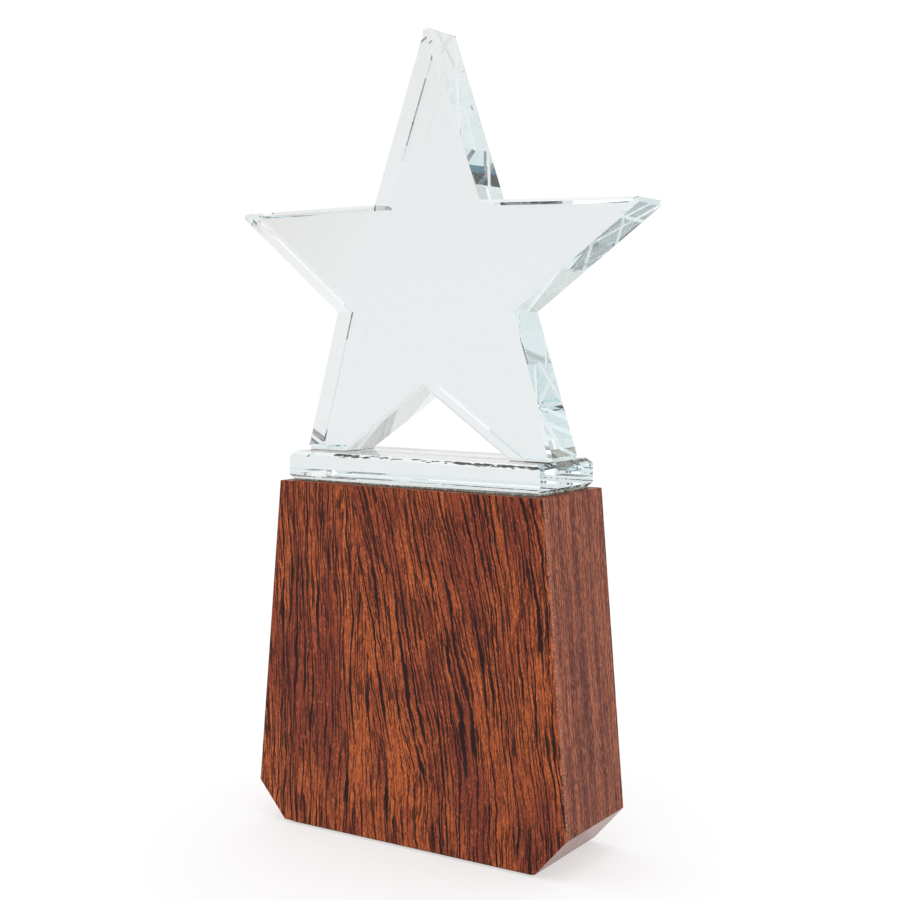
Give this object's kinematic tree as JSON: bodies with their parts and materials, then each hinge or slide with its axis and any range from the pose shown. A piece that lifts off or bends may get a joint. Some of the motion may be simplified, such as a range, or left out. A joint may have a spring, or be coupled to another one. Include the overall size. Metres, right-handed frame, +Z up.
{
  "type": "crystal star award",
  "caption": "Clear crystal star standing on a clear bevelled plinth, glued to a tall tapered block that is faced with glossy figured wood veneer and has chamfered lower corners.",
  "frame": {"origin": "middle of the footprint, on the surface that the award stands on", "axes": "+Z up, X along the front face with +X to the viewer's right, +Y from the front face to the back"},
  "size_m": [0.1479, 0.04, 0.2599],
  "materials": {
    "crystal": "polished clear optical crystal with ground and polished bevels",
    "glue": "thin cured adhesive, slightly uneven",
    "core_board": "plain board, hidden by the veneers",
    "face_veneer": "orange-brown figured veneer with dark vertical streaks, high-gloss lacquer",
    "edge_veneer": "pinkish-brown veneer with fine vertical pores, high-gloss lacquer",
    "felt": "short-pile felt"
  },
  "bodies": {
    "root": {"crystal_star": "crystal", "star_bond_left": "glue", "star_bond_right": "glue", "crystal_plinth": "crystal", "plinth_adhesive": "glue", "base_core": "core_board", "front_veneer": "face_veneer", "back_veneer": "face_veneer", "left_side_veneer": "edge_veneer", "right_side_veneer": "edge_veneer", "left_chamfer_veneer": "edge_veneer", "right_chamfer_veneer": "edge_veneer", "top_veneer": "edge_veneer", "felt_pad": "felt"}
  },
  "joints": []
}
